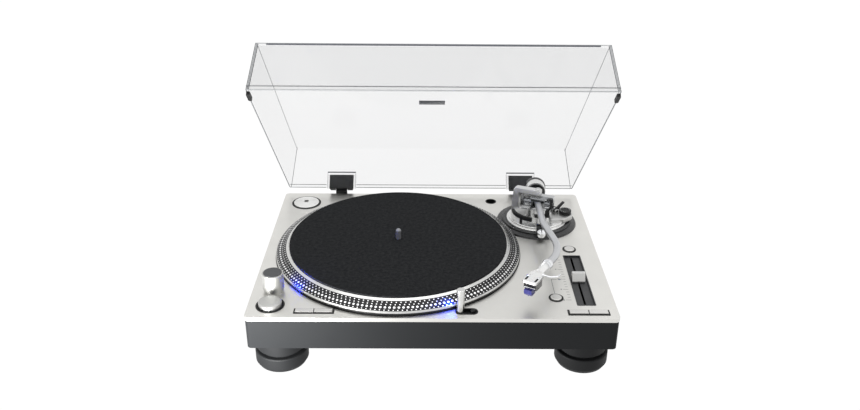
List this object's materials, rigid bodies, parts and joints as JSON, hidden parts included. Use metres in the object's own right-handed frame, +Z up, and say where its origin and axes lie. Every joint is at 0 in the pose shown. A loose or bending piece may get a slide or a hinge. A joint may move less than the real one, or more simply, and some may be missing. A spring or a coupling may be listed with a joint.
{
  "type": "dj turntable",
  "caption": "Direct drive record turntable with a heavy dotted platter, S-shaped tonearm, pitch fader and a hinged clear dust cover that stands open.",
  "frame": {"origin": "on the floor under the middle of the whole outline, with the cover open", "axes": "+X to the right along the front, +Y to the rear, +Z up"},
  "size_m": [0.452, 0.3878, 0.3798],
  "materials": {
    "satin_aluminium": "fine satin panel",
    "polished_aluminium": "turned and polished",
    "grey_body": "satin dark grey moulding",
    "black_plastic": "matt black",
    "gloss_black": "glossy black",
    "charcoal_rubber": "matt rubber",
    "steel": "plain steel",
    "chrome": "bright plated",
    "felt": "near-black felt",
    "clear_cover": "clear acrylic",
    "lamp_lens": "clear lens with a blue-white glow",
    "circuit_board": "board with its parts",
    "grey_key": "light grey keys",
    "navy_plastic": "navy stylus holder"
  },
  "bodies": {
    "plinth": {"top_panel": "satin_aluminium", "base_housing": "grey_body", "base_screws": "steel", "foot_collars": "charcoal_rubber", "bearing_housing": "steel", "motor_stator": "steel", "main_board": "circuit_board", "transformer": "steel", "rear_sockets": "black_plastic", "hinge_brackets": "black_plastic", "panel_liners": "black_plastic", "pitch_tray": "black_plastic", "strobe_collar": "satin_aluminium", "fixed_lamps": "lamp_lens", "arm_mount_ring": "black_plastic"},
    "platter": {"platter": "polished_aluminium", "spindle": "chrome", "magnet_ring": "steel"},
    "slipmat": {"slipmat": "felt"},
    "adaptor": {"record_adaptor": "polished_aluminium"},
    "foot_front_left": {"foot_front_left": "charcoal_rubber"},
    "foot_front_right": {"foot_front_right": "charcoal_rubber"},
    "foot_rear_left": {"foot_rear_left": "charcoal_rubber"},
    "foot_rear_right": {"foot_rear_right": "charcoal_rubber"},
    "cover": {"dust_cover": "clear_cover", "cover_fittings": "black_plastic"},
    "start_button": {"start_button": "satin_aluminium"},
    "power_dial": {"power_dial": "polished_aluminium", "power_dial_cap": "black_plastic"},
    "speed_key_33": {"speed_key_33": "grey_key"},
    "speed_key_45": {"speed_key_45": "grey_key"},
    "range_key": {"range_key": "grey_key"},
    "reverse_key": {"reverse_key": "grey_key"},
    "reset_button": {"reset_button": "satin_aluminium"},
    "quartz_button": {"quartz_button": "satin_aluminium"},
    "pitch_fader": {"pitch_fader": "satin_aluminium"},
    "target_lamp": {"target_lamp": "polished_aluminium"},
    "lamp_release": {"lamp_release_button": "black_plastic"},
    "line_switch": {"line_switch": "black_plastic"},
    "arm_base": {"arm_base": "satin_aluminium", "bearing_bridge": "satin_aluminium", "antiskate_housing": "satin_aluminium", "arm_rest": "black_plastic"},
    "height_ring": {"height_ring": "black_plastic"},
    "height_lock": {"height_lock_knob": "chrome"},
    "antiskate_dial": {"antiskate_dial": "black_plastic"},
    "cue_lever": {"cue_lever": "black_plastic"},
    "cue_lift": {"cue_lift": "black_plastic"},
    "arm_clip": {"arm_clip": "black_plastic"},
    "gimbal": {"gimbal_frame": "polished_aluminium"},
    "arm": {"arm_housing": "polished_aluminium", "arm_tube": "chrome"},
    "counterweight": {"counterweight": "polished_aluminium", "counterweight_cap": "gloss_black"},
    "force_ring": {"force_ring": "gloss_black"},
    "locking_nut": {"locking_nut": "chrome"},
    "headshell": {"headshell": "satin_aluminium", "headshell_fittings": "chrome", "cartridge": "gloss_black", "stylus": "navy_plastic"}
  },
  "joints": [
    {"name": "platter_spin", "type": "hinge", "parent": "plinth", "child": "platter", "pos_m": [-0.0454, -0.0235, 0.0874], "axis": [0, 0, 1], "continuous": true},
    {"name": "slipmat_spin", "type": "hinge", "parent": "platter", "child": "slipmat", "pos_m": [-0.0454, -0.0235, 0.0874], "axis": [0, 0, 1], "continuous": true},
    {"name": "adaptor_lift", "type": "slide", "parent": "plinth", "child": "adaptor", "axis": [0, 0, 1], "range_m": [0, 0.02]},
    {"name": "cover_hinge", "type": "hinge", "parent": "plinth", "child": "cover", "pos_m": [0, 0.1585, 0.0945], "axis": [-1, 0, 0], "range_deg": [-44.3, 0]},
    {"name": "start_press", "type": "slide", "parent": "plinth", "child": "start_button", "axis": [0, 0, -1], "range_m": [0, 0.0015], "stiffness_N_per_m": 300, "springref_m": -0.002},
    {"name": "speed_33_press", "type": "slide", "parent": "plinth", "child": "speed_key_33", "axis": [0, 0, -1], "range_m": [0, 0.0015], "stiffness_N_per_m": 200, "springref_m": -0.002},
    {"name": "speed_45_press", "type": "slide", "parent": "plinth", "child": "speed_key_45", "axis": [0, 0, -1], "range_m": [0, 0.0015], "stiffness_N_per_m": 200, "springref_m": -0.002},
    {"name": "range_press", "type": "slide", "parent": "plinth", "child": "range_key", "axis": [0, 0, -1], "range_m": [0, 0.0015], "stiffness_N_per_m": 200, "springref_m": -0.002},
    {"name": "reverse_press", "type": "slide", "parent": "plinth", "child": "reverse_key", "axis": [0, 0, -1], "range_m": [0, 0.0015], "stiffness_N_per_m": 200, "springref_m": -0.002},
    {"name": "reset_press", "type": "slide", "parent": "plinth", "child": "reset_button", "axis": [0, 0, -1], "range_m": [0, 0.001], "stiffness_N_per_m": 200, "springref_m": -0.002},
    {"name": "quartz_press", "type": "slide", "parent": "plinth", "child": "quartz_button", "axis": [0, 0, -1], "range_m": [0, 0.001], "stiffness_N_per_m": 200, "springref_m": -0.002},
    {"name": "lamp_release_press", "type": "slide", "parent": "plinth", "child": "lamp_release", "axis": [0, 0, -1], "range_m": [0, 0.0015], "stiffness_N_per_m": 100, "springref_m": -0.002},
    {"name": "target_lamp_drop", "type": "slide", "parent": "plinth", "child": "target_lamp", "axis": [0, 0, -1], "range_m": [0, 0.024], "stiffness_N_per_m": 12, "springref_m": -0.02},
    {"name": "power_turn", "type": "hinge", "parent": "plinth", "child": "power_dial", "pos_m": [-0.199, -0.1329, 0.0874], "axis": [0, 0, 1], "range_deg": [0, 40]},
    {"name": "pitch_slide", "type": "slide", "parent": "plinth", "child": "pitch_fader", "axis": [0, 1, 0], "range_m": [-0.05, 0.05]},
    {"name": "line_switch_slide", "type": "slide", "parent": "plinth", "child": "line_switch", "axis": [1, 0, 0], "range_m": [-0.002, 0.002]},
    {"name": "arm_height", "type": "slide", "parent": "plinth", "child": "arm_base", "axis": [0, 0, 1], "range_m": [0, 0.006]},
    {"name": "height_ring_turn", "type": "hinge", "parent": "plinth", "child": "height_ring", "pos_m": [0.1536, 0.0611, 0.0874], "axis": [0, 0, 1], "range_deg": [0, 300]},
    {"name": "height_lock_turn", "type": "hinge", "parent": "plinth", "child": "height_lock", "pos_m": [0.1536, 0.0081, 0.098], "axis": [0, -1, 0], "range_deg": [0, 60]},
    {"name": "antiskate_turn", "type": "hinge", "parent": "arm_base", "child": "antiskate_dial", "pos_m": [0.1951, 0.0614, 0.1018], "axis": [0, 0, 1], "range_deg": [0, 270]},
    {"name": "cue_lever_turn", "type": "hinge", "parent": "arm_base", "child": "cue_lever", "pos_m": [0.1804, 0.0613, 0.1049], "axis": [0.6293, -0.7771, 0], "range_deg": [0, 35]},
    {"name": "cue_lift_rise", "type": "slide", "parent": "arm_base", "child": "cue_lift", "axis": [0, 0, 1], "range_m": [0, 0.005]},
    {"name": "arm_clip_turn", "type": "hinge", "parent": "arm_base", "child": "arm_clip", "pos_m": [0.1637, 0.0276, 0.1212], "axis": [0, 1, 0], "range_deg": [-90, 0]},
    {"name": "arm_swing", "type": "hinge", "parent": "arm_base", "child": "gimbal", "pos_m": [0.1536, 0.0611, 0.1184], "axis": [0, 0, 1], "range_deg": [-46, 0]},
    {"name": "arm_lift", "type": "hinge", "parent": "gimbal", "child": "arm", "pos_m": [0.1536, 0.0611, 0.1184], "axis": [-0.9272, 0.3746, 0], "range_deg": [0, 7.5]},
    {"name": "counterweight_slide", "type": "slide", "parent": "arm", "child": "counterweight", "axis": [0.0592, 0.998, -0.0207], "range_m": [-0.012, 0.006]},
    {"name": "force_ring_turn", "type": "hinge", "parent": "counterweight", "child": "force_ring", "pos_m": [0.15573, 0.09703, 0.11766], "axis": [0.0592, 0.998, -0.0207], "continuous": true},
    {"name": "locking_nut_turn", "type": "hinge", "parent": "arm", "child": "locking_nut", "pos_m": [0.14292, -0.12636, 0.12228], "axis": [-0.5149, -0.8569, 0.0215], "range_deg": [0, 45]},
    {"name": "headshell_pull", "type": "slide", "parent": "arm", "child": "headshell", "axis": [-0.5149, -0.8569, 0.0215], "range_m": [0, 0.02]},
    {"name": "foot_front_left_level", "type": "slide", "parent": "plinth", "child": "foot_front_left", "axis": [0, 0, -1], "range_m": [0, 0.006]},
    {"name": "foot_front_right_level", "type": "slide", "parent": "plinth", "child": "foot_front_right", "axis": [0, 0, -1], "range_m": [0, 0.006]},
    {"name": "foot_rear_left_level", "type": "slide", "parent": "plinth", "child": "foot_rear_left", "axis": [0, 0, -1], "range_m": [0, 0.006]},
    {"name": "foot_rear_right_level", "type": "slide", "parent": "plinth", "child": "foot_rear_right", "axis": [0, 0, -1], "range_m": [0, 0.006]}
  ],
  "couplings": [
    {"joint": "height_ring_turn", "follows": "arm_height", "rad_per_m": 872},
    {"joint": "cue_lever_turn", "follows": "cue_lift_rise", "rad_per_m": 122.1}
  ]
}
